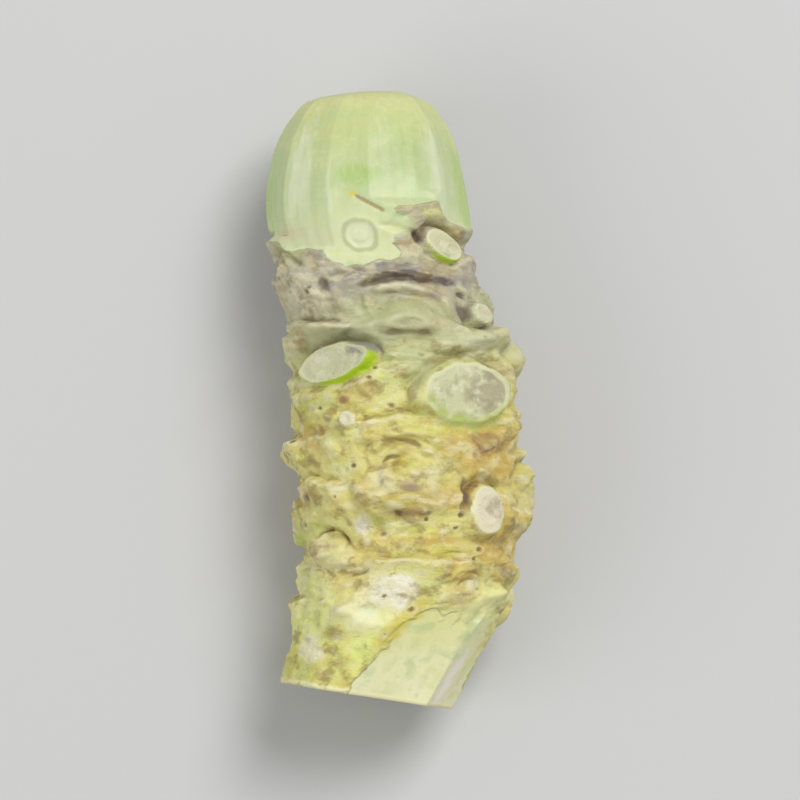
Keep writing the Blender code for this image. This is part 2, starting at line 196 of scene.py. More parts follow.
# The forms of buds, bud scars and cuts. Scars are measured against their stand, the others in
# millimetres. A ring is its height, where it lies as a share of the outline, and its width.
knobShape = {
    "level": 0.6,  # how far the bark stands out of the bare stem where knobs sit
    "reach": 1.2,  # radians round the root, past which a knob changes nothing
    "axilGap": (0.3, 0.6),  # from a leaf base up to its knob, and more by the half height
    "budCreaseAt": 1.08, "budCrease": 0.3, "budScale": 0.07,
    "scarMiddle": (0.9, 0.3), "scarSlit": 0.5,
    "scarWander": (0.1, 1.3, 33), "scarBreaks": (1.3, 1.7, 34),
    "scarRings": ((0.9, 0.82, 0.14), (-0.6, 0.6, 0.1), (-0.6, 1.06, 0.1), (0.7, 1.28, 0.12)),
    "cutUneven": (0.05, 1.6, 35), "cutSink": 0.15, "cutRing": (0.1, 0.6, 0.1),
    "cutRim": (0.05, 0.93, 0.06),
    "cutCrease": (0.35, 0.45),  # depth of the crease below a cut, and how much deeper above it
}
# Flat strokes of the knife: angle and height where each leaves the bark, then at the crown how
# far it stands out beside its neighbours, and at the base its slope. A nick is a short stroke
# that only grazes the bark: angle, height, half width, half height, depth.
paring = {
    "crownStations": [38, 41, 43, 46, 49, 51.5, 53.5, 55, 56, 58],
    "crownApothems": [7.6, 8.1, 8.6, 8.6, 8.1, 7.4, 6.3, 4.9, 2.6, 0.8],
    "crown": (
        (-66, 42.6, 0.25), (-36, 41.2, 0), (-9, 40.4, 0), (14, 45.4, 0), (34, 46.4, 0.4),
        (66, 43.6, 0.2), (99, 43.4, 0.35), (133, 44.8, 0), (168, 42.2, 0.4), (203, 43.6, 0),
        (236, 44.8, 0.3), (267, 42.8, 0.3),
    ),
    "base": (
        (20, 8.6, 0.28), (70, 9.2, 0.2), (112, 6.0, 0.12), (196, 8.0, 0.12), (300, 5.0, 0.1),
    ),
    "nicks": (
        (-4, 10.1, 2.3, 1.8, 0.8), (215, 13.5, 3.0, 1.6, 0.4), (120, 33.5, 2.2, 1.3, 0.3),
        (160, 6.5, 2.6, 1.6, 0.4), (-100, 8.0, 2.4, 1.3, 0.3),
    ),
    "nickLevel": 0.75, "nickRise": 0.9,
    # angle, height, half width, half height
    "ringScars": ((-6, 42.1, 1.5, 1.35), (128, 46.5, 1.3, 1.1), (232, 47.5, 1.1, 1.0)),
    "ringHeight": 0.1, "ringGroove": 0.07, "ringWander": (0.1, 0.9, 31),
    # angle, height, half length, half width, slant
    "slits": ((2, 44.9, 1.7, 0.2, -30), (152, 49, 0.9, 0.12, 20), (-84, 46, 0.8, 0.12, -60)),
    "slitDepth": 0.2,
    "cutsIn": 0.3, "crownExit": 1.2, "baseExit": 1.5, "leastTurn": 0.3,
}


def rough(angle, height, size, seed):
    # smooth noise from -1 to 1 over the root's surface, with bumps of the given size
    radius = np.mean(rootShape["stemRadii"]) * mm
    places = np.stack([radius * np.sin(angle), height, radius * np.cos(angle)], axis=1)
    offset = np.array((seed * 7.3, seed * -3.1, seed * 5.7))
    return np.array([noise.noise(place) for place in places / (size * mm) + offset])


def roughRow(angle, height, row):
    amount, size, seed = row
    return amount * rough(angle, height, size, seed)


def strengthen(masks, name, values):
    masks[name] = np.maximum(masks[name], values)


def stemRadius(height):
    return curveThrough(rootShape["stemStations"], rootShape["stemRadii"], height)


def leafPlaces():
    draw = random.Random(rootShape["seed"])
    places = {}
    for number in range(leafBase["first"], leafBase["last"] + 1):
        farthest = leafBase["strayAngle"], leafBase["strayRise"]
        stray = [draw.uniform(-most, most) for most in farthest]
        roundIt, up = leafBase["strays"].get(number, stray)
        turn = leafBase["zeroAngle"] + number * leafBase["divergence"] + roundIt
        places[number] = {
            "angle": math.radians(turn),
            "height": (leafBase["zeroHeight"] + number * leafBase["rise"] + up) * mm,
            "wrap": draw.uniform(*leafBase["wrap"]),
            "lip": leafBase["lip"] * mm * draw.uniform(*leafBase["lipSpread"]),
            "tilt": leafBase["tilt"] * mm * draw.uniform(-1, 1),
        }
    return places


def newKnob(kind, angle, height, wide, high, stand, leanUp, leanRound, roll, green, brown, cream):
    return {
        "kind": kind, "angle": angle, "height": height, "stem": float(stemRadius(height)),
        "wide": wide * mm, "high": high * mm, "stand": stand * mm, "leanUp": leanUp,
        "leanRound": leanRound, "roll": math.radians(roll), "green": green, "brown": brown,
        "cream": cream,
    }


def knobPlaces(leaves):
    knobs = []
    gap, share = knobShape["axilGap"]
    for number, leaf in leaves.items():
        if leaf["height"] >= bareBelow * mm:
            kind, wide, high, *rest = axils.get(number, plainAxil)
            height = leaf["height"] + (gap + share * high) * mm
            cream = smallCutCream * (wide < smallCut)
            knobs.append(newKnob(kind, leaf["angle"], height, wide, high, *rest, cream))
    for turn, height, wide, high, *rest in stumps:
        stance = *stumpStance, *rest
        knobs.append(newKnob("shoot", math.radians(turn), height * mm, wide, high, *stance))
    return knobs


def localPlace(knob, angle, height, warp=0):
    # distances round and up from a knob's middle, and the share of its oval outline
    off = turned(angle - knob["angle"])
    roundIt = off * (knob["stem"] + knobShape["level"] * mm)
    up = height - knob["height"]
    cos, sin = math.cos(knob["roll"]), math.sin(knob["roll"])
    across = (roundIt * cos + up * sin) / knob["wide"]
    along = (-roundIt * sin + up * cos) / knob["high"]
    return off, roundIt, up, across, along, np.hypot(across, along) * (1 + warp)


def leafRelief(leaves, knobs, angle, height, masks):
    # how far the leaf bases stand out of the bare stem
    pushed = height.copy()
    for knob in knobs:
        if knob["kind"] == "arch":
            continue
        off, _, up, _, _, share = localPlace(knob, angle, height)
        pushed -= leafBase["parting"] * up * bell(share / 1.5) * (np.abs(off) < 1.5)
    wave = sum(roughRow(angle, height, row) for row in leafBase["waves"])
    sway = roughRow(angle, height, leafBase["sway"])
    fray = mm * roughRow(angle, height * 0.5, leafBase["fray"])
    whole = leafBase["whole"] + sum(roughRow(angle, height, row) for row in leafBase["breaks"])
    whole = np.clip(whole, *leafBase["wholeRange"])
    linesHere = np.clip(0.4 + roughRow(angle, height, leafBase["lineBreaks"]), 0, 1)
    relief = np.zeros_like(height)
    crease = np.zeros_like(height)
    for leaf in leaves.values():
        off = turned(angle - leaf["angle"] + sway)
        hold = np.clip(1 - (off / leaf["wrap"]) ** 2, 0, 1) ** 0.7
        lip = leaf["height"] + leafBase["sag"] * mm * (1 - np.cos(off)) * 0.5
        lip = lip + leaf["tilt"] * np.sin(off) + leafBase["wave"] * mm * wave
        over = pushed - lip + fray
        swell = smoothStep(1 + (over + leafBase["edge"] * mm) / (leafBase["swell"] * mm)) ** 1.4
        faceHere = bell(off / leafBase["faceReach"])
        depth = (leafBase["shelf"] + leafBase["face"] * faceHere) * mm
        shelf = 1 - smoothStep(over / depth)
        out = leaf["lip"] * hold * whole * np.where(over < 0, swell, shelf)
        # growth lines along the lip
        lines = np.sin(over / (leafBase["lineGap"] * mm) * 2 * math.pi + 2.5 * wave)
        lines = lines * hold * (over < 0) * (over > -leafBase["linesReach"] * mm)
        out = out + leafBase["lineHeight"] * mm * linesHere * lines
        wins = out > relief
        relief = np.maximum(relief, out)
        # the crease behind each shelf also darkens the bark's colour with painted shade
        behind = bell((over - depth) / (leafBase["creaseWidth"] * mm))
        crease = np.maximum(crease, hold * behind * np.clip(whole, 0, 1) ** 1.5)
        edgeHere = hold * bell((over + 0.1 * mm) / (0.3 * mm))
        masks["lipEdge"] = np.where(wins, edgeHere, masks["lipEdge"])
        faceMask = hold * faceHere * smoothStep(over / (0.2 * mm))
        faceMask = faceMask * (1 - smoothStep(over / depth - 0.4))
        masks["leafFace"] = np.where(wins, faceMask, masks["leafFace"])
    masks["crease"] = crease
    low = np.clip(1 - 1.5 * relief / (leafBase["lip"] * mm), 0, 1)
    relief = relief - leafBase["crease"] * mm * crease * low
    # the lips fade out towards the base and the crown
    settled = 0.2 + 0.8 * smoothStep((height - 4 * mm) / (10 * mm))
    settled = settled * (1 - 0.8 * smoothStep((height - 42.5 * mm) / (2.5 * mm)))
    for name in ("lipEdge", "leafFace", "crease"):
        masks[name] = masks[name] * settled
    return relief * settled


def raiseBud(knob, angle, height, place, near, lower, bark, masks):
    _, _, _, _, along, share = place
    off = share - knobShape["budCreaseAt"]
    dome = knob["stand"] * np.clip(1 - share**2, 0, 1) ** 0.75
    crease = knobShape["budCrease"] * mm * bell(off / 0.16) * (1 - lower)
    scales = knobShape["budScale"] * mm * np.sin(share * 14 + 3 * along) * (share < 1)
    strengthen(masks, "bud", near * smoothStep((1.1 - share) / 0.5))
    strengthen(masks, "knobCrease", near * bell(off / 0.14) * (1 - lower))
    return bark + dome + scales - crease


def raiseScar(knob, angle, height, place, near, lower, bark, masks):
    # folds round a sunken bud, whole for an eye and above it only for an arch
    _, _, _, across, along, share = place
    upper = 1 - 0.65 * lower if knob["kind"] == "eye" else 1 - lower
    share = share + roughRow(angle, height, knobShape["scarWander"])
    broken = np.clip(0.7 + roughRow(angle, height, knobShape["scarBreaks"]), 0, 1)
    middle, middleWidth = knobShape["scarMiddle"]
    rings = sum(rise * bell((share - at) / width) for rise, at, width in knobShape["scarRings"])
    folds = middle * bell(share / middleWidth) + upper * broken * rings
    dark = np.maximum(bell((share - 0.6) / 0.08), 0.8 * bell((share - 1.06) / 0.07))
    strengthen(masks, "knobCrease", near * dark * upper * broken * 0.6)
    strengthen(masks, "bud", near * 0.6 * bell((share - 0.85) / 0.2))
    slit = bell((along + 0.62) / 0.13) * smoothStep(1.3 - 2.6 * np.abs(across + 0.05))
    strengthen(masks, "blush", near * knob["brown"] * slit)
    slit = knobShape["scarSlit"] * slit * (knob["brown"] > 0)
    return bark + knob["stand"] * (folds - slit)


def raiseCut(knob, angle, height, place, near, lower, bark, masks):
    # a shoot or root cut off flat: the face, its rim and strands, and a crease round it
    off, roundIt, up, across, along, share = place
    share = share * (1 + roughRow(angle, height, knobShape["cutUneven"]))
    inside = np.maximum(share, 1)  # outside the outline, the rim's level is used
    level = knob["stem"] + 0.5 * leafBase["lip"] * mm + knob["stand"]
    level = level * math.cos(0.9 * knob["wide"] / knob["stem"])
    face = level / np.cos(off / inside)
    face = face + (knob["leanUp"] * up + knob["leanRound"] * roundIt) / inside
    side = face - (share - 1) * min(knob["high"] * 3, 5 * mm)
    middle = np.clip(1 - share * 1.3, 0, 1)
    for rise, at, width in (knobShape["cutRing"], knobShape["cutRim"]):
        face = face + rise * mm * bell((share - at) / width)
    face = face - knobShape["cutSink"] * mm * middle
    around = smoothStep((1.9 - share) / 0.9)
    bark = bark + around * np.minimum(face - 0.1 * mm - bark, 0)
    shallow, deeperAbove = knobShape["cutCrease"]
    crease = (shallow + deeperAbove * (up > 0)) * mm * bell((share - 1.25) / 0.17)
    onFace = near * smoothStep((1.0 - share) / 0.07)
    strengthen(masks, "cutFace", onFace)
    strengthen(masks, "creamFace", onFace * knob["cream"])
    strengthen(masks, "rim", near * bell((share - 0.92) / 0.07))
    strands = 0.5 + 0.5 * np.cos(np.arctan2(along, across) * 13)
    strengthen(masks, "strands", near * bell((share - 0.64) / 0.08) * strands)
    greenBand = bell((share - 1.07) / 0.16) * lower * smoothStep(0.75 + 0.5 * across)
    strengthen(masks, "greenRim", near * knob["green"] * greenBand)
    browned = knob["brown"] * (share < 1) * smoothStep(0.55 + 0.5 * across - 0.4 * share)
    strengthen(masks, "blush", near * browned)
    strengthen(masks, "knobCrease", near * bell((share - 1.2) / 0.12) * (1 - 0.8 * lower))
    return np.where(share < 1, face, np.maximum(bark - crease, side))


def raiseKnob(knob, angle, height, bark, warp, masks):
    # the bark's radius with one bud, bud scar or cut shoot raised from it
    place = off, _, _, _, along, share = localPlace(knob, angle, height, warp)
    near = (np.abs(off) < knobShape["reach"]) & (share < 2.2)
    lower = smoothStep(0.5 - 0.9 * along / np.maximum(share, 0.3))
    raised = {"bud": raiseBud, "eye": raiseScar, "arch": raiseScar, "shoot": raiseCut}[knob["kind"]]
    return np.where(near, raised(knob, angle, height, place, near, lower, bark, masks), bark)


def stroke(angle, radius, strokeAngle, level, rise):
    turn = np.cos(angle - math.radians(strokeAngle))
    flat = level / np.clip(turn, paring["leastTurn"], 1) + rise
    return np.where(turn > paring["leastTurn"], np.minimum(radius, flat), radius)


def pare(angle, height, radius):
    crown = curveThrough(paring["crownStations"], paring["crownApothems"], height)
    crown = crown + mm * roughRow(angle, height * 0.12, roughRows["crownDrag"])
    stem = stemRadius(height) + paring["cutsIn"] * mm
    stem = stem + mm * roughRow(angle, height * 0.15, roughRows["baseDrag"])
    for strokeAngle, leavesAt, lift in paring["crown"]:
        below = np.clip(leavesAt * mm - height, 0, None)
        level = crown + lift * mm
        radius = stroke(angle, radius, strokeAngle, level, below * paring["crownExit"])
    for strokeAngle, leavesAt, slope in paring["base"]:
        above = height - leavesAt * mm
        rise = np.where(above < 0, above * slope, above * paring["baseExit"])
        radius = stroke(angle, radius, strokeAngle, stem, rise)
    return radius


def graze(angle, height, radius, masks):
    # shallow nicks that take only the outermost bark
    stem = stemRadius(height)
    for nickAngle, nickHeight, wide, high, depth in paring["nicks"]:
        off = turned(angle - math.radians(nickAngle))
        share = np.hypot(off * stem / (wide * mm), (height - nickHeight * mm) / (high * mm))
        level = stem + (paring["nickLevel"] - depth) * mm
        level = level + paring["nickRise"] * mm * np.clip(share - 0.75, 0, None) ** 2
        near = (np.abs(off) < 1) & (share < 2)
        soft = smoothStep((1.2 - share) / 0.6)
        strengthen(masks, "nick", near * soft * (level < radius + 0.05 * mm))
        radius = np.where(near, np.minimum(radius, level), radius)
    return radius


def ringScars(angle, height, radius, masks):
    # buds that the knife cut level with the flesh: a ring, and a pale middle
    for scarAngle, scarHeight, wide, high in paring["ringScars"]:
        off = turned(angle - math.radians(scarAngle))
        roundIt, up = off * radius, height - scarHeight * mm
        share = np.hypot(roundIt / (wide * mm), up / (high * mm))
        share = share + roughRow(angle, height, paring["ringWander"])
        near = (np.abs(off) < 1) & (share < 2.5)
        ring = bell((share - 1) / 0.2) + 0.5 * bell((share - 0.5) / 0.14)
        strengthen(masks, "scarRing", near * ring)
        strengthen(masks, "scarPale", near * bell(share / 1.5))
        rise = paring["ringHeight"] * bell((share - 1) / 0.18)
        rise = rise - paring["ringGroove"] * bell((share - 0.6) / 0.2)
        radius = radius + near * mm * rise
    for slitAngle, slitHeight, length, width, slant in paring["slits"]:
        roundIt = turned(angle - math.radians(slitAngle)) * radius / mm
        up = height / mm - slitHeight
        cos, sin = math.cos(math.radians(slant)), math.sin(math.radians(slant))
        along, across = roundIt * cos + up * sin, up * cos - roundIt * sin
        slit = smoothStep((length - np.abs(along)) / 0.5) * bell(across / width)
        strengthen(masks, "slit", slit)
        radius = radius - paring["slitDepth"] * mm * slit
    return radius


# Patches where the bark's tone changes: angle, height, half angle, half height, strength.
patches = {
    # dull grey-purple skin, with painted shade in the hollows of the neck
    "purple": (
        (-54, 40.8, 12, 0.6, 0.35), (-34, 39.5, 15, 0.5, 0.25), (-33, 38.0, 6, 1.0, 0.9),
        (-14, 38.6, 14, 0.7, 1.0), (12, 38.9, 20, 0.7, 1.0), (46, 38.2, 20, 0.6, 0.9),
        (-40, 37.6, 12, 1.0, 0.5), (30, 36.9, 8, 0.8, 0.6), (56, 35.6, 10, 0.8, 0.6),
        (63, 28.3, 10, 1.5, 0.5), (-30, 31.9, 12, 0.5, 0.7), (-24, 36.4, 8, 0.7, 0.5),
        (110, 40, 50, 1.6, 0.7), (190, 40.6, 60, 1.5, 0.8), (255, 39.2, 40, 1.8, 0.7),
        (150, 31, 30, 1.2, 0.4), (220, 26, 34, 1.3, 0.4), (120, 19, 24, 1.0, 0.3),
    ),
    # light grey-green swellings between the folds of the neck
    "sage": (
        (3, 35.2, 34, 1.2, 1.0), (54, 32.6, 24, 1.2, 1.0), (8, 30.2, 9, 1.9, 0.9),
        (-45, 33.6, 14, 0.7, 0.6), (150, 35, 50, 1.6, 0.9), (230, 34, 40, 1.6, 0.9),
        (100, 31, 24, 1.5, 0.7),
    ),
    "tan": (
        (40, 44.3, 14, 0.9, 0.6), (43, 39.4, 16, 0.8, 1.0), (24, 41.2, 6, 1.2, 0.7),
        (62, 42.4, 8, 1.2, 0.7), (-50, 37.0, 20, 1.4, 0.5), (80, 41.5, 12, 1.4, 0.5),
        (-54, 42.6, 14, 0.9, 0.8), (170, 39, 30, 1.0, 0.6), (250, 37, 30, 1.0, 0.6),
    ),
    # painted grey-green shade in the hollows under those swellings
    "moss": ((-8, 33.1, 28, 0.6, 1.1), (18, 33.6, 14, 0.4, 0.7), (35, 31.6, 12, 0.5, 0.5)),
    # young skin, and lichen-like stains low on the root
    "green": (
        (-66, 3.4, 20, 2.6, 0.9), (-22, 16.6, 12, 0.7, 0.6), (-64, 26.4, 10, 2.0, 0.8),
        (-50, 11.6, 20, 1.6, 0.3), (4, 26.6, 10, 0.9, 0.5), (4, 35.3, 20, 1.0, 0.65),
        (40, 44.3, 12, 0.7, 0.55), (56, 31.4, 14, 1.0, 0.4), (190, 16, 60, 1.6, 0.5),
        (200, 5, 60, 4, 0.7), (100, 4, 30, 3, 0.6),
    ),
    # darker stains
    "olive": (
        (-36, 6.6, 9, 0.7, 0.8), (-26, 4.0, 14, 0.7, 0.5), (-62, 26.0, 7, 1.6, 0.35),
        (-8, 23.2, 14, 0.5, 0.5), (2, 18.2, 9, 0.8, 1.0), (-36, 12.2, 12, 0.5, 0.8),
        (24, 13.2, 14, 0.5, 0.5), (-70, 18.5, 10, 1.4, 0.5), (130, 27, 20, 1.0, 0.6),
        (185, 12, 20, 0.9, 0.6), (225, 22, 20, 1.0, 0.6), (255, 9, 20, 1.0, 0.5),
    ),
    # where the cork is thicker, and more orange
    "warm": (
        (34, 10, 14, 1.2, 0.8), (22, 25, 20, 1.2, 0.7), (48, 23, 30, 3.2, 0.9),
        (60, 14.7, 26, 3.6, 0.9), (28, 12.4, 22, 1.5, 0.7), (-66, 24.3, 12, 2.0, 0.6),
        (24, 18.6, 16, 1.2, 0.8), (-34, 28.2, 10, 0.6, 0.6), (10, 14.7, 26, 0.8, 0.6),
        (140, 25, 50, 2.6, 0.7), (240, 19, 50, 2.6, 0.7),
    ),
    # rubbed and bruised places, and one painted highlight where a lip above the large cut lies in
    # shade
    "pale": (
        (8, 37.4, 22, 0.35, 0.8), (-30, 39.3, 12, 0.6, 0.8), (-52, 36.6, 14, 1.6, 1.0),
        (-13, 20.6, 5, 1.0, 0.8), (-20, 25.0, 16, 0.8, 0.4), (-27, 16.1, 5.5, 0.8, 1.0),
        (0, 16.3, 12, 0.3, 0.6), (-8, 10.3, 15, 1.5, 1.0), (-20, 8.9, 12, 0.8, 0.7),
        (-53, 5.4, 10, 1.0, 0.9), (-44, 4.9, 8, 0.9, 0.7), (38, 11.0, 4, 0.5, 0.8),
        (-40, 19.4, 6, 0.6, 0.5), (47, 32.6, 12, 0.8, 0.9), (170, 22, 30, 1.4, 0.5),
        (120, 11, 30, 1.4, 0.5), (250, 12, 30, 1.4, 0.6),
    ),
    # thin yellow-green skin
    "lime": (
        (24, 9.8, 14, 0.9, 0.6), (14, 12.2, 18, 0.9, 0.6), (-5, 21.3, 8, 0.8, 1.0),
        (-66, 22.4, 5, 0.7, 1.0), (-62, 26.8, 8, 1.2, 0.7), (-38, 21.4, 12, 0.9, 0.5),
        (-14, 7.2, 12, 0.9, 0.7), (12, 24.6, 16, 0.5, 0.7), (-70, 3.4, 12, 3.0, 1.2),
        (2, 15.8, 12, 0.7, 0.9), (19, 13.8, 10, 0.6, 0.9), (-40, 28.3, 10, 0.9, 0.7),
        (26, 25.2, 14, 0.6, 0.9), (6, 35.6, 12, 0.6, 0.6), (-12, 3.8, 10, 1.6, 0.7),
        (-14, 29.6, 4, 0.8, 0.7), (130, 22, 24, 1.6, 0.6), (200, 19, 24, 1.6, 0.6),
        (240, 27, 24, 1.6, 0.6),
    ),
    # where the skin was left along the edge of the last base stroke
    "amber": (
        (12, 9.2, 6, 0.7, 0.8), (8, 8.4, 6, 0.8, 0.9), (4, 7.5, 6, 0.8, 0.9),
        (0, 6.6, 6, 0.8, 0.9), (-4, 5.7, 6, 0.8, 0.8), (-6, 4.7, 5, 0.9, 0.5),
        (80, 4.5, 9, 3.5, 0.5), (-7.5, 45.8, 2.5, 0.3, 1.0),
    ),
    # green skin inside the lower edge of the largest cut
    "fresh": (
        (13, 27.2, 4, 0.8, 0.7), (18, 26.2, 6, 0.7, 0.9), (27, 25.5, 9, 0.6, 1.0),
        (38, 25.2, 9, 0.6, 1.0), (49, 25.6, 8, 0.6, 0.9), (58, 26.6, 5, 0.7, 0.7),
    ),
    # holes, cut into the surface and darkened with painted shade
    "hole": (
        (29, 42.0, 3.6, 0.6, 1.0), (-34, 37.8, 4, 0.8, 0.85), (45, 35.2, 2.2, 1.2, 0.8),
        (51, 36.9, 4, 0.3, 0.8), (-66, 18.9, 5, 0.5, 0.7), (-16, 15.4, 3, 0.3, 0.7),
        (30, 18.9, 2.0, 1.4, 0.8),
    ),
    # old wounds and dead root scars
    "rust": (
        (43, 23.9, 7, 0.55, 1.1), (42, 23.3, 9, 1.2, 0.85), (-34, 27.3, 4.5, 0.4, 0.8),
        (52, 23.2, 5, 0.7, 0.5), (-1, 19.5, 5, 0.45, 1.0), (1, 17.3, 10, 0.35, 0.8),
        (-52, 24.4, 3, 1.0, 0.7), (-44, 14.4, 4, 0.35, 0.8), (62, 12.3, 5, 0.5, 0.6),
        (20, 11.7, 4, 0.3, 0.6), (70, 32.8, 5, 0.5, 0.4), (38, 10.4, 5, 0.3, 0.6),
        (12, 26.0, 3, 0.4, 0.6), (-28, 20.2, 5, 0.3, 0.5), (8, 13.9, 6, 0.25, 0.5),
        (110, 27, 8, 0.5, 0.8), (165, 17, 7, 0.5, 0.7), (220, 30, 7, 0.5, 0.8),
        (250, 22, 6, 0.6, 0.7), (-90, 27.6, 6, 0.5, 0.7),
    ),
    # brown-yellow hollows
    "ochre": (
        (0, 18.4, 11, 0.8, 1.2), (24, 15.0, 12, 0.5, 0.5), (-20, 14.2, 8, 0.4, 0.5),
        (43, 23.9, 8, 0.7, 0.7), (41, 21.6, 7, 0.8, 0.6),
    ),
    # clear yellow, on the thinnest skin
    "honey": (
        (-5, 21.3, 8, 0.8, 1.0), (0, 18.5, 10, 0.7, 0.8), (19, 13.8, 12, 0.7, 0.7),
        (-62, 26.4, 9, 1.6, 0.7), (10, 9.3, 8, 0.6, 0.6), (3, 7.3, 8, 0.6, 0.6),
        (-70, 3.4, 10, 3.0, 0.6), (76, 20.7, 8, 1.4, 0.5), (150, 22, 20, 1.0, 0.6),
        (240, 18, 20, 1.0, 0.6),
    ),
    # whitish and smooth, where a cut face or a bruise has dried; the streak on the base's right
    # facet and a spot low on the left are painted highlight
    "milky": (
        (-50, 31.3, 13, 0.8, 0.6), (-27, 16.2, 4.5, 0.7, 0.7), (63, 2.7, 8, 2.2, 1.2),
        (52, 7.6, 5, 0.6, 0.6),
    ),
    # in the shadow under the lip above a cut shoot
    "shade": ((-19, 31.9, 9, 0.6, 1.0),),
    # the veil of dull skin over the neck
    "neck": ((0, 37.0, 400, 4.6, 1.0),),
    # on the pared crown and base, where the flesh is chalky, and painted highlight in streaks along
    # the crown's facet edges
    "chalk": (
        (40, 2.2, 30, 0.7, 0.6), (-44, 48, 9, 4.5, 1.0), (47, 48.5, 7, 4.5, 1.0),
        (-22, 45.9, 10, 2.5, 0.5), (120, 49, 10, 4, 0.8), (190, 48, 9, 5, 0.9),
        (255, 49, 9, 4, 0.8), (12, 50.8, 8, 2.5, 0.5), (-17, 8.4, 12, 1.2, 0.9),
    ),
    # where it shows the most green
    "lush": (
        (-4, 47.5, 12, 1.0, 1.0), (26, 49.9, 12, 3.0, 0.5), (-14, 51.8, 20, 1.6, 0.4),
        (78, 46.4, 10, 4.0, 1.0), (-76, 45.8, 12, 4.0, 0.7), (150, 50, 14, 3, 0.7),
        (225, 47, 14, 3, 0.7),
    ),
    # where it is duller
    "dusk": ((20, 49.0, 26, 3.0, 0.5), (160, 50, 30, 3, 0.6), (-110, 48, 20, 3, 0.5)),
    # at the base, where the knife left bark on
    "barked": ((72, 10.8, 24, 3.0, 1.0),),
    # where the bark was scraped to the flesh
    "scraped": (
        (50, 4.6, 12, 4.2, 1.0), (-15, 7.9, 13, 1.1, 0.4), (-34, 43.0, 18, 1.0, 0.6),
        (11, 43.1, 10, 0.7, 1.0),
    ),
}

# Thin folds across the bark: angle, height of the middle, half angle, how much lower its ends
# lie, half width, strength. Each is a shallow groove whose floor is darkened with painted shade.
folds = (
    (22, 38.4, 40, 0.9, 0.42, 1.7), (7, 36.8, 20, 0.3, 0.2, 0.5), (-6, 33.2, 30, 0.0, 0.36, 1.0),
    (-8, 23.7, 18, 0.9, 0.22, 1.3), (-5, 22.3, 11, 0.9, 0.2, 1.2), (2, 16.9, 12, -0.4, 0.24, 1.1),
    (30, 9.3, 18, 0.4, 0.18, 0.8), (-36, 11.6, 18, -1.0, 0.24, 0.7),
    (-40, 36.2, 16, 0.3, 0.24, 0.6), (30, 13.8, 22, 0.5, 0.2, 0.5),
    (-30, 20.0, 16, 0.3, 0.2, 0.4), (150, 30, 30, 0.6, 0.25, 0.7), (200, 21, 34, 0.8, 0.22, 0.6),
    (240, 14, 26, 0.5, 0.22, 0.6), (110, 15, 24, 0.5, 0.22, 0.6), (175, 36, 30, 0.5, 0.25, 0.7),
    (262, 33, 20, 0.5, 0.22, 0.6),
)
# How far they wander and where they break off, as rows of noise, and how their ends thin out.
foldShape = {"wander": ((0.3, 2.2, 41), (0.15, 0.9, 42)), "breaks": (1.2, 2.0, 43), "ends": 0.35}

# Small marks strewn over the bark: warts, and the scars of fine roots with a pit in them. Their
# sizes, lengthening and heights up the root are drawn between two values. Holes and folds are
# carved in as deep as is said here.
marks = {
    "seed": 5, "warts": 170, "pits": 70, "wartSizes": (0.3, 0.85), "pitSizes": (0.24, 0.42),
    "lengthening": (1.0, 1.7), "heights": (7, 41), "stemRadius": 9.5,
    "wartHeight": 0.4, "pitRimHeight": 0.25, "pitDepth": 0.45,  # as shares of the mark's size
    "holeDepth": 0.5, "foldDepth": 0.2,
}

# What the shape marks on the surface for the materials, beside the patches.
surfaceMasks = (
    "wart", "pit", "pitRim", "lipEdge", "leafFace", "crease", "bud", "knobCrease", "blush",
    "cutFace", "creamFace", "rim", "strands", "greenRim", "nick", "scarRing", "scarPale", "slit",
)


def patchMask(spots, angle, height):
    mask = np.zeros_like(height)
    for spotAngle, spotHeight, halfAngle, halfHeight, strength in spots:
        off = turned(angle - math.radians(spotAngle)) / math.radians(halfAngle)
        up = (height / mm - spotHeight) / halfHeight
        mask = np.maximum(mask, strength * bell(np.hypot(off, up) * 0.85))
    return mask


def foldMask(angle, height):
    wander = sum(roughRow(angle, height, row) for row in foldShape["wander"])
    broken = np.clip(0.75 + roughRow(angle, height, foldShape["breaks"]), 0, 1)
    mask = np.zeros_like(height)
    for foldAngle, foldHeight, halfAngle, drop, width, strength in folds:
        off = turned(angle - math.radians(foldAngle)) / math.radians(halfAngle)
        up = height / mm - foldHeight + drop * off**2 + wander
        ends = smoothStep((1 - np.abs(off)) / foldShape["ends"])
        mask = np.maximum(mask, strength * ends * broken * bell(up / width))
    return mask


def speckle(angle, height, bark, masks):
    draw = random.Random(marks["seed"])
    for number in range(marks["warts"] + marks["pits"]):
        isPit = number >= marks["warts"]
        size = draw.uniform(*marks["pitSizes" if isPit else "wartSizes"])
        atAngle, atHeight = draw.uniform(-math.pi, math.pi), draw.uniform(*marks["heights"])
        longer = draw.uniform(*marks["lengthening"])
        roundIt = turned(angle - atAngle) * marks["stemRadius"]
        up = height / mm - atHeight
        share = np.hypot(roundIt / (size * longer), up / size)
        near = share < 3
        if isPit:
            rise = marks["pitRimHeight"] * bell((share - 1) / 0.35)
            rise = rise - marks["pitDepth"] * bell(share / 0.6)
            strengthen(masks, "pit", near * bell(share / 0.6))
            strengthen(masks, "pitRim", near * bell((share - 1.05) / 0.3))
        else:
            rise = marks["wartHeight"] * bell(share / 0.9)
            strengthen(masks, "wart", near * bell(share / 0.8))
        bark = bark + near * rise * size * mm
    return bark


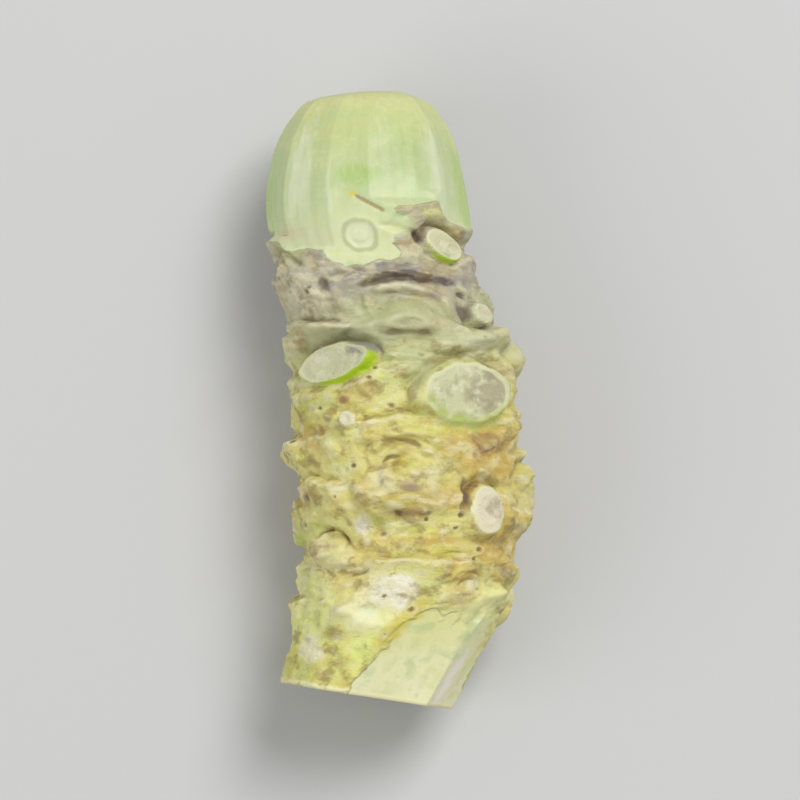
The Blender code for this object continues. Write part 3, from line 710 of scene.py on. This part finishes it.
def rootSurface(angle, height):
    # the outer radius at each angle and height, and masks that say what is there
    masks = {name: np.zeros_like(height) for name in surfaceMasks}
    leaves = leafPlaces()
    knobs = knobPlaces(leaves)
    stem = stemRadius(height) * (1 + roughRow(angle, height, roughRows["stem"]))
    bark = stem + leafRelief(leaves, knobs, angle, height, masks)
    bark = bark + mm * roughRow(angle, height * 2.0, roughRows["bark"])
    amount, size, seed = roughRows["barkRidges"]
    bark = bark + amount * mm * (0.5 - np.abs(rough(angle, height * 2.0, size, seed)) * 2)
    bark = bark + mm * roughRow(angle, height * 1.3, roughRows["barkGrain"])
    bark = speckle(angle, height, bark, masks)
    warp = sum(roughRow(angle, height, row) for row in roughRows["knobEdges"])
    for knob in knobs:
        bark = raiseKnob(knob, angle, height, bark, warp, masks)
    radius = pare(angle, height, bark)
    pared = (bark - radius) / mm
    pared = pared * (1 - patchMask(patches["barked"], angle, height))
    masks["pared"] = pared + 0.5 * patchMask(patches["scraped"], angle, height)
    masks["cortex"] = bell(masks["pared"] / 0.45) * (0.05 + 0.3 * (height > 30 * mm))
    radius = graze(angle, height, radius, masks)
    radius = ringScars(angle, height, radius, masks)
    for name, spots in patches.items():
        masks[name] = patchMask(spots, angle, height)
    masks["wart"] = masks["wart"] * (1 - np.minimum(masks["rust"], 1))
    masks["fold"] = foldMask(angle, height) * smoothStep(1 - masks["pared"] / 0.2)
    carved = marks["holeDepth"] * masks["hole"] + marks["foldDepth"] * masks["fold"]
    masks["upTheRoot"] = height / mm / rootShape["length"]
    return radius - carved * mm, masks


def rootPlace(angle, height, radius):
    across = curveThrough(rootShape["bowStations"], rootShape["bowSideways"], height)
    upward = curveThrough(rootShape["bowStations"], rootShape["bowUpward"], height)
    across, upward = across + radius * np.sin(angle), upward + radius * np.cos(angle)
    return np.stack([across, height, upward], axis=1)


def cutHeights(angle, cut):
    # the height where each upright line of the surface meets a slanting end cut
    height = np.full_like(angle, cut[0] * mm)
    for _ in range(5):
        places = rootPlace(angle, height, rootSurface(angle, height)[0])
        height = cut[0] * mm + cut[1] * places[:, 0] + cut[2] * places[:, 2]
    return height


def raisedAboveAround(ring, column, radius):
    # millimetres that each point stands above the mean of what is about a millimetre round it
    grid = np.zeros((rootShape["along"] + 1, rootShape["around"]))
    grid[ring, column] = radius
    grid[0], grid[-1] = grid[1], grid[-2]
    smooth = grid.copy()
    for _ in range(rootShape["smoothings"]):
        smooth = (smooth + np.roll(smooth, 1, 1) + np.roll(smooth, -1, 1)) / 3
        padded = np.vstack([smooth[:1], smooth, smooth[-1:]])
        smooth = (padded[:-2] + padded[1:-1] + padded[2:]) / 3
    return ((grid - smooth) / mm)[ring, column]


def buildRoot(materials, shownMasks):
    # a sphere whose points are placed on the root, so that its rings run from base to crown
    around, along = rootShape["around"], rootShape["along"]
    shape = bmesh.new()
    bmesh.ops.create_uvsphere(shape, u_segments=around, v_segments=along, radius=1)
    ball = np.array([vert.co for vert in shape.verts])
    angle = np.arctan2(ball[:, 0], ball[:, 1])
    down = np.arccos(np.clip(ball[:, 2], -1, 1)) / math.pi
    ring = np.rint((1 - down) * along).astype(int)
    column = np.rint(angle / (2 * math.pi) * around).astype(int) % around
    firstBark, lastBark = rootShape["baseRings"], along - rootShape["crownRings"]

    columnAngle = turned(np.arange(around) / around * 2 * math.pi)
    baseHeight = cutHeights(columnAngle, rootShape["baseCut"])[column]
    crownHeight = cutHeights(columnAngle, rootShape["crownCut"])[column]

    # rings between the cuts: close together on the bark, wider apart on the smooth ends
    t = np.clip((ring - firstBark) / (lastBark - firstBark), 0, 1)
    even = np.interp(t, rootShape["ringShares"], rootShape["ringHeights"]) / rootShape["length"]
    height = baseHeight + (crownHeight - baseHeight) * even
    radius, masks = rootSurface(angle, height)
    places = rootPlace(angle, height, radius)

    # rings across the two cuts, from each edge in to the middle
    masks["cutEdge"] = bell((height - baseHeight) / (rootShape["cutEdge"] * mm))
    masks["cutShare"] = np.ones_like(height)
    for cutRings, inwards, (middleHeight, slopeAcross, slopeUp) in (
        (rootShape["baseRings"], firstBark - ring, rootShape["baseCut"]),
        (rootShape["crownRings"], ring - lastBark, rootShape["crownCut"]),
    ):
        onCut = inwards > 0
        share = np.clip(1 - inwards / cutRings, 0, 1) ** rootShape["ringCrowding"]
        middle = rootPlace(np.zeros(1), np.array([middleHeight * mm]), np.zeros(1))[0]
        middle[1] = middleHeight * mm + slopeAcross * middle[0] + slopeUp * middle[2]
        flat = middle + (places - middle) * share[:, None]
        places = np.where(onCut[:, None], flat, places)
        masks["cutShare"] = np.where(onCut, share, masks["cutShare"])
    # this height lightens the bark with painted highlight where it stands out and darkens it with
    # painted shade where it sinks
    masks["raised"] = raisedAboveAround(ring, column, radius)

    # the skin is set over the solid: level with its top, and flat where it rests
    low, high = places.min(axis=0), places.max(axis=0)
    cadLow, cadHigh = np.array(cadBox[0]), np.array(cadBox[1])
    shift = (cadLow + cadHigh - low - high) / 2
    shift[2] = cadHigh[2] - high[2]
    places += shift
    places[:, 2] = np.maximum(places[:, 2], 0)
    for vert, place in zip(shape.verts, places):
        vert.co = place
    shape.verts.index_update()
    for face in shape.faces:
        face.smooth = True
        rings = [ring[vert.index] for vert in face.verts]
        face.material_index = int(max(rings) <= firstBark or min(rings) >= lastBark)
    bmesh.ops.recalc_face_normals(shape, faces=shape.faces)
    piece = newPiece("rhizome", shape, materials)
    for name in shownMasks:
        attribute = piece.data.attributes.new(name, "FLOAT", "POINT")
        attribute.data.foreach_set("value", masks[name].astype(np.float32))
    return piece


# Patterns that the materials share: size of the largest bumps in mm, detail, and how much
# each is squeezed along x, y and z, so a small number draws it out that way. Real cork grain
# is about 0.1 mm wide, too fine to show, so "fine" and "grain" draw it coarser.
patterns = {
    "drift": (7.0, 2.0, (1, 1, 1)),
    "blotch": (2.4, 4.0, (1, 1.3, 1)),
    "mottle": (1.0, 5.0, (0.8, 1, 0.8)),
    "grain": (0.42, 5.0, (0.5, 1, 0.5)),
    "fine": (0.2, 4.0, (1, 1, 1)),
    "specks": (0.62, 1.5, (1, 1, 1)),
    "streaks": (0.55, 4.0, (1, 0.09, 1)),
}
# Layers lie over a ground tone that runs up the root. A layer shows where its mask, plus the
# fray times what its pattern departs from its mean, passes from the first value to the second:
# mask, colour, strength, pattern, fray, where it starts, where it is full, and how it blends
# unless it is mixed in. A layer without a mask is strewn over everything by its pattern alone.
#
# Fresh rhizome bark is thin cork, so it is matt and a little rough, yellow-green at the old
# base, tan higher up and grey-purple at the neck, with paler rubbed edges, painted highlights
# on what stands out and painted shade in the hollows.
# Under it the pared flesh is smooth, damp and pale green, streaked along the blade's path.
bark = {
    "name": "fresh rhizome bark", "groundMask": "upTheRoot",
    "ground": (
        (0.0, "#d8e088"), (0.1, "#e4ec8c"), (0.185, "#e8e79c"), (0.256, "#e0dc8c"),
        (0.33, "#dfd886"), (0.4, "#dfd886"), (0.47, "#ded984"), (0.54, "#d4d890"),
        (0.61, "#c1c69a"), (0.66, "#b9b89a"), (0.7, "#b2ad9b"), (0.76, "#b9b39d"), (0.8, "#bdb698"),
    ),
    "layers": (
        ("", "#bcc86c", 0.55, "drift", 1.0, 0.0, 0.14),
        ("", "#d9ba62", 0.45, "drift", -1.0, 0.02, 0.15),
        # grey-purple skin, darkened further by painted shade in the neck's hollows
        ("purple", "#8e8488", 0.8, "blotch", 1.6, 0.25, 0.65),
        ("tan", "#c3b585", 0.85, "blotch", 1.2, 0.25, 0.75),
        ("green", "#b4bf58", 0.75, "blotch", 1.4, 0.25, 0.65),
        ("olive", "#a1924e", 0.8, "blotch", 1.4, 0.25, 0.75),
        ("warm", "#cfad54", 0.75, "blotch", 1.4, 0.25, 0.65),
        ("lime", "#dfe07c", 0.7, "blotch", 1.4, 0.25, 0.65),
        ("amber", "#cfbd55", 0.75, "blotch", 1.0, 0.2, 0.8),
        ("pale", "#efe9cb", 0.8, "blotch", 1.0, 0.2, 0.75),
        ("nick", "#f3efe0", 0.7, "mottle", 1.0, 0.25, 0.7),
        ("cutEdge", "#f4efb8", 0.9, "grain", 1.2, 0.2, 0.7),
        ("rust", "#9c6c44", 0.85, "mottle", 1.6, 0.25, 0.75),
        ("bud", "#d0c888", 0.4, "mottle", 1.0, 0.25, 0.8),
        ("leafFace", "#dccfa6", 0.4, "mottle", 1.2, 0.25, 0.8),
        ("", "#e9e4b2", 0.55, "blotch", 1.0, 0.03, 0.16),
        ("", "#a18d52", 0.75, "blotch", -1.0, 0.01, 0.15),
        ("", "#eee8be", 0.24, "mottle", 1.0, 0.04, 0.2),
        ("", "#8d7848", 0.24, "mottle", -1.0, 0.04, 0.2),
        ("ochre", "#b49f56", 0.75, "mottle", 1.2, 0.2, 0.8),
        ("honey", "#d3c760", 0.65, "mottle", 1.4, 0.2, 0.8),
        ("lipEdge", "#e8dfb4", 0.6, "grain", 2.4, 0.35, 0.9),
        ("wart", "#e6deb4", 0.6, "grain", 0.8, 0.2, 0.8),
        ("pitRim", "#ded7a8", 0.6, "grain", 0.8, 0.3, 0.9),
        # painted highlight where the bark stands above what is round it, painted shade where it
        # lies below
        ("raised", "#efe8c2", 0.4, "grain", 0.5, 0.12, 0.55),
        ("raised", "#8c7048", 0.45, "grain", -0.6, -0.18, -0.7),
        # painted shade in the crease behind each leaf lip
        ("crease", "#b89a66", 0.55, "blotch", 2.2, 0.35, 0.95, "MULTIPLY"),
        # painted shade in the creases round buds, scar folds and cut shoots
        ("knobCrease", "#a08058", 0.55, "blotch", 2.2, 0.35, 0.95, "MULTIPLY"),
        # painted shade inside each pit
        ("pit", "#70583a", 0.8, "fine", 0.8, 0.2, 0.7),
        ("", "#d9b798", 0.5, "specks", -1.0, 0.17, 0.26),
        ("", "#7b6238", 0.35, "specks", 1.0, 0.2, 0.28),
        ("", "#a2915a", 0.2, "grain", -1.0, 0.05, 0.2),
        ("", "#f0eac6", 0.2, "grain", 1.0, 0.05, 0.2),
        ("neck", "#b5b0a0", 0.26, "blotch", 0.5, 0.1, 0.9),
        ("sage", "#bfc696", 0.55, "blotch", 1.2, 0.25, 0.75),
        # painted grey-green shade in the hollows of the neck
        ("moss", "#9da376", 0.6, "blotch", 1.2, 0.25, 0.75),
        # painted shade on the floor of each fold
        ("fold", "#968579", 0.75, "blotch", 0.8, 0.15, 0.75, "MULTIPLY"),
        # holes darkened with painted shade
        ("hole", "#6a5a4e", 0.8, "mottle", 0.8, 0.25, 0.7),
        ("cutFace", "#d2d3aa", 0.95, "mottle", 0.3, 0.3, 0.6),
        ("cutFace", "#a3a07e", 0.6, "blotch", 2.2, 1.0, 1.3),
        ("cutFace", "#e9e7c6", 0.6, "mottle", -2.2, 1.0, 1.3),
        ("creamFace", "#ebe1c2", 0.9, "mottle", 1.6, 0.1, 0.9),
        ("blush", "#a19379", 0.65, "mottle", 1.4, 0.2, 0.7),
        ("strands", "#a8a070", 0.45, "fine", 1.4, 0.5, 1.1),
        ("shade", "#93938a", 0.75, "mottle", 0.8, 0.2, 0.7),
        # whitish dried places, partly painted highlight on a spot of bark
        ("milky", "#ece7d2", 0.75, "mottle", 0.9, 0.2, 0.8),
        ("rim", "#e6e8b8", 0.6, "mottle", 0.8, 0.25, 0.7),
        ("fresh", "#b5c06a", 0.9, "mottle", 1.0, 0.15, 0.9),
        ("greenRim", "#b2d21c", 0.95, "mottle", 0.8, 0.2, 0.6),
    ),
    "flesh": (
        (0.0, "#f0efc2"), (0.09, "#efedb8"), (0.14, "#e8e6a2"), (0.22, "#eee69a"),
        (0.7, "#dcdfb8"), (0.76, "#dae0b2"), (0.84, "#c2cf9b"), (0.92, "#c3ce93"), (1.0, "#cfd28e"),
    ),
    "fleshLayers": (
        ("", "#d9dc9c", 0.45, "blotch", 1.0, 0.02, 0.16),
        ("", "#b6ce92", 0.45, "blotch", -1.0, 0.02, 0.16),
        ("lush", "#a6c463", 0.55, "streaks", 1.4, 0.25, 0.75),
        # chalky flesh, and painted highlight in streaks along the crown's facet edges
        ("chalk", "#e6e9d6", 0.38, "streaks", 1.4, 0.3, 0.9),
        ("", "#e2e8c8", 0.16, "streaks", 1.0, 0.03, 0.2),
        ("", "#b0c77c", 0.16, "streaks", -1.0, 0.03, 0.2),
        ("", "#eef0d8", 0.12, "grain", 1.0, 0.06, 0.2),
        ("dusk", "#dadfd6", 0.9, "blotch", 1.6, 0.2, 0.9, "MULTIPLY"),
        ("cortex", "#b8b37a", 0.8, "blotch", 1.0, 0.3, 0.9),
        ("tan", "#d2bf9c", 0.6, "blotch", 1.4, 0.3, 0.9),
        ("amber", "#d6c850", 0.85, "blotch", 1.0, 0.2, 0.8),
        ("cutEdge", "#f8f2be", 0.85, "grain", 0.8, 0.2, 0.7),
        # whitish dried flesh, partly painted highlight on the streak of the base's right facet
        ("milky", "#fdf8e8", 0.85, "blotch", 0.8, 0.15, 0.9),
        ("scarPale", "#e2e6c4", 0.6, "mottle", 0.6, 0.2, 1.0),
        ("scarRing", "#a3ab78", 0.55, "mottle", 1.2, 0.3, 1.0),
        ("slit", "#9a7a4c", 0.7, "fine", 0.6, 0.2, 0.8),
    ),
    "fleshShows": (0.09, 0.2),  # millimetres pared away where flesh begins, and where it is all
    "fleshFray": 0.12, "roughness": 0.58, "fleshRoughness": 0.42,
    # millimetres of bump, the share of it left on the flesh, and what the streaks add there
    "bump": 0.14, "fleshBump": 0.1, "streakRelief": 0.15,
}
# Sliced flesh is moist and waxy: a brown line of skin, a green cortex, a ring of darker
# strands, and a paler core.
slicedFlesh = {
    "name": "sliced rhizome flesh", "groundMask": "cutShare",
    "ground": (
        (0.0, "#d9dba4"), (0.45, "#e3e2b8"), (0.66, "#dcdfaa"), (0.72, "#b9c77c"),
        (0.78, "#d3dc9a"), (0.93, "#b4cd68"), (0.97, "#9cb04e"), (1.0, "#8a7a4c"),
    ),
    "layers": (
        ("", "#eeebcb", 0.5, "blotch", 1.0, 0.02, 0.16),
        ("", "#c3cb86", 0.5, "mottle", -1.0, 0.03, 0.18),
        ("", "#f0eed4", 0.4, "grain", 1.0, 0.05, 0.2),
        ("", "#a8ae68", 0.4, "specks", 1.0, 0.14, 0.22),
    ),
    "roughness": 0.42, "bump": 0.12,
}
# What both have in common. Plant tissue is moist, so a little light goes in, red the farthest.
skin = {
    "patternRoughness": 0.58, "groundWander": 0.1, "bumpStrength": 0.9,
    "relief": {"mottle": 0.6, "fine": 0.7},  # beside the grain, which counts in full
    "subsurface": 0.12, "radius": (1.0, 0.8, 0.35), "depth": 1.2, "ior": 1.42,
}


def layered(tree, colour, layers, masks, noises):
    for mask, hexColour, strength, pattern, fray, start, full, *blend in layers:
        shown = addNode(
            tree, "ShaderNodeMath", {"operation": "MULTIPLY_ADD", 1: fray, 2: -fray / 2},
            {0: noises[pattern]},
        ).outputs["Value"]
        if mask:
            shown = addNode(
                tree, "ShaderNodeMath", {"operation": "ADD"}, {0: shown, 1: masks[mask]}
            ).outputs["Value"]
        span = {"From Min": start, "From Max": full, "To Max": strength}
        shown = addNode(
            tree, "ShaderNodeMapRange", {"interpolation_type": "SMOOTHSTEP", **span},
            {"Value": shown},
        ).outputs["Result"]
        colour = addNode(
            tree, "ShaderNodeMix",
            {"data_type": "RGBA", "blend_type": blend[0] if blend else "MIX",
             7: (*linearColour(hexColour), 1)},
            {0: shown, 6: colour},
        ).outputs[2]
    return colour


def masksRead(finish):
    # only the masks that a finish reads are kept on the mesh
    layers = [*finish["layers"], *finish.get("fleshLayers", ())]
    names = {layer[0] for layer in layers if layer[0]} | {finish["groundMask"]}
    if "fleshLayers" in finish:
        names.add("pared")
    return sorted(names)


def makeSkin(finish):
    material = bpy.data.materials.new(finish["name"])
    material.use_nodes = True
    tree = material.node_tree
    shader = tree.nodes["Principled BSDF"]
    coordinates = addNode(tree, "ShaderNodeTexCoord", {}, {}).outputs["Object"]
    noises, masks, grounds = {}, {}, {}
    for name, (size, detail, squeeze) in patterns.items():
        placed = addNode(tree, "ShaderNodeMapping", {"Scale": squeeze}, {"Vector": coordinates})
        noises[name] = addNode(
            tree, "ShaderNodeTexNoise",
            {"Scale": 1 / (size * mm), "Detail": detail, "Roughness": skin["patternRoughness"]},
            {"Vector": placed.outputs["Vector"]},
        ).outputs["Fac"]
    for name in masksRead(finish):
        attribute = addNode(tree, "ShaderNodeAttribute", {"attribute_name": name}, {})
        masks[name] = attribute.outputs["Fac"]

    # the ground tones, whose borders wander a little
    wander = addNode(
        tree, "ShaderNodeMath",
        {"operation": "MULTIPLY_ADD", 1: skin["groundWander"], 2: -skin["groundWander"] / 2},
        {0: noises["drift"]},
    ).outputs["Value"]
    along = addNode(
        tree, "ShaderNodeMath", {"operation": "ADD"}, {0: wander, 1: masks[finish["groundMask"]]}
    ).outputs["Value"]
    for name in ("ground", "flesh"):
        if name not in finish:
            continue
        stops = finish[name]
        ramp = addNode(tree, "ShaderNodeValToRGB", {}, {"Fac": along})
        points = ramp.color_ramp.elements
        points[0].position, points[1].position = stops[0][0], stops[-1][0]
        for position, _ in stops[1:-1]:
            points.new(position)
        for point, (_, hexColour) in zip(points, stops):
            point.color = (*linearColour(hexColour), 1)
        grounds[name] = ramp.outputs["Color"]

    colour = layered(tree, grounds["ground"], finish["layers"], masks, noises)
    relief = noises["grain"]
    for name, share in skin["relief"].items():
        relief = addNode(
            tree, "ShaderNodeMath", {"operation": "MULTIPLY_ADD", 1: share},
            {0: noises[name], 2: relief},
        ).outputs["Value"]
    shader.inputs["Roughness"].default_value = finish["roughness"]

    # the pared flesh shows where enough was pared away
    if "fleshLayers" in finish:
        flesh = layered(tree, grounds["flesh"], finish["fleshLayers"], masks, noises)
        frayed = addNode(
            tree, "ShaderNodeMath", {"operation": "MULTIPLY_ADD", 1: finish["fleshFray"]},
            {0: noises["grain"], 2: masks["pared"]},
        ).outputs["Value"]
        start, full = finish["fleshShows"]
        isFlesh = addNode(
            tree, "ShaderNodeMapRange", {"From Min": start, "From Max": full}, {"Value": frayed}
        ).outputs["Result"]
        colour = addNode(
            tree, "ShaderNodeMix", {"data_type": "RGBA"}, {0: isFlesh, 6: colour, 7: flesh}
        ).outputs[2]
        roughness = addNode(
            tree, "ShaderNodeMapRange",
            {"To Min": finish["roughness"], "To Max": finish["fleshRoughness"]}, {"Value": isFlesh},
        )
        tree.links.new(roughness.outputs["Result"], shader.inputs["Roughness"])
        calm = addNode(
            tree, "ShaderNodeMapRange", {"To Min": 1.0, "To Max": finish["fleshBump"]},
            {"Value": isFlesh},
        ).outputs["Result"]
        relief = addNode(
            tree, "ShaderNodeMath", {"operation": "MULTIPLY"}, {0: relief, 1: calm}
        ).outputs["Value"]
        relief = addNode(
            tree, "ShaderNodeMath", {"operation": "MULTIPLY_ADD", 1: finish["streakRelief"]},
            {0: noises["streaks"], 2: relief},
        ).outputs["Value"]
    tree.links.new(colour, shader.inputs["Base Color"])
    bump = addNode(
        tree, "ShaderNodeBump",
        {"Distance": finish["bump"] * mm, "Strength": skin["bumpStrength"]}, {"Height": relief},
    )
    tree.links.new(bump.outputs["Normal"], shader.inputs["Normal"])
    shader.inputs["Subsurface Weight"].default_value = skin["subsurface"]
    shader.inputs["Subsurface Radius"].default_value = skin["radius"]
    shader.inputs["Subsurface Scale"].default_value = skin["depth"] * mm
    shader.inputs["IOR"].default_value = skin["ior"]
    return material


skins = [makeSkin(bark), makeSkin(slicedFlesh)]
print("skins mixed:", ", ".join(material.name for material in skins))
root = buildRoot(skins, sorted({*masksRead(bark), *masksRead(slicedFlesh)}))
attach(root, "root")
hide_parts("wasabi_root")
print("root shaped:", len(root.data.polygons), "faces")


# Lengths are in metres, apart from the floor's drop in millimetres, which keeps it off the root.
stage = {
    "floorColour": "#cbcbcb", "floorRoughness": 0.8, "floorSize": 1.2, "floorDrop": 0.02,
    "fill": 0.77,  # the root's length as a share of the picture
    "lens": 250, "sensor": 36, "clipStart": 0.01,
    "lean": 4,  # degrees towards the base from straight above
    # place, size and power of each light
    "lights": {
        "key softbox": ((0.34, 0.42, 0.9), 0.45, 7.0),
        "fill softbox": ((-0.7, -0.3, 0.6), 0.6, 2.0),
    },
    "sky": 0.42,
}


def buildStage():
    shape = bmesh.new()
    bmesh.ops.create_grid(shape, x_segments=1, y_segments=1, size=stage["floorSize"])
    # matt paper scatters light evenly, so the floor has no gloss and its shadows are soft
    material = bpy.data.materials.new("matt paper")
    material.use_nodes = True
    shader = material.node_tree.nodes["Principled BSDF"]
    shader.inputs["Base Color"].default_value = (*linearColour(stage["floorColour"]), 1)
    shader.inputs["Roughness"].default_value = stage["floorRoughness"]
    bmesh.ops.translate(shape, verts=shape.verts, vec=(0, 0, -stage["floorDrop"] * mm))
    floor = newPiece("floor", shape, [material])


def addLight(name, place, aim, size, power):
    lamp = bpy.data.lights.new(name, "AREA")
    lamp.size = size
    lamp.energy = power
    holder = bpy.data.objects.new(name, lamp)
    bpy.context.scene.collection.objects.link(holder)
    holder.location = place
    holder.rotation_mode = "QUATERNION"
    holder.rotation_quaternion = (aim - Vector(place)).to_track_quat("-Z", "Y")


def buildLights(aim):
    for name, (place, size, power) in stage["lights"].items():
        addLight(name, place, aim, size, power)
    world = bpy.data.worlds.new("studio")
    bpy.context.scene.world = world
    world.use_nodes = True
    background = world.node_tree.nodes["Background"]
    background.inputs["Color"].default_value = (1, 1, 1, 1)
    background.inputs["Strength"].default_value = stage["sky"]


def buildCamera(aim, length):
    camera = bpy.data.cameras.new("camera")
    camera.lens = stage["lens"]
    camera.sensor_width = stage["sensor"]
    camera.clip_start = stage["clipStart"]
    holder = bpy.data.objects.new("camera", camera)
    bpy.context.scene.collection.objects.link(holder)
    distance = length / stage["fill"] * stage["lens"] / stage["sensor"]
    lean = math.radians(stage["lean"])
    holder.location = aim + distance * Vector((0, -math.sin(lean), math.cos(lean)))
    holder.rotation_euler = (lean, 0, 0)
    bpy.context.scene.camera = holder


low, high = cadBox
buildStage()
buildLights((low + high) / 2)
buildCamera((low + high) / 2, high.y - low.y)
bpy.context.scene.view_settings.view_transform = "Standard"
print("stage ready")
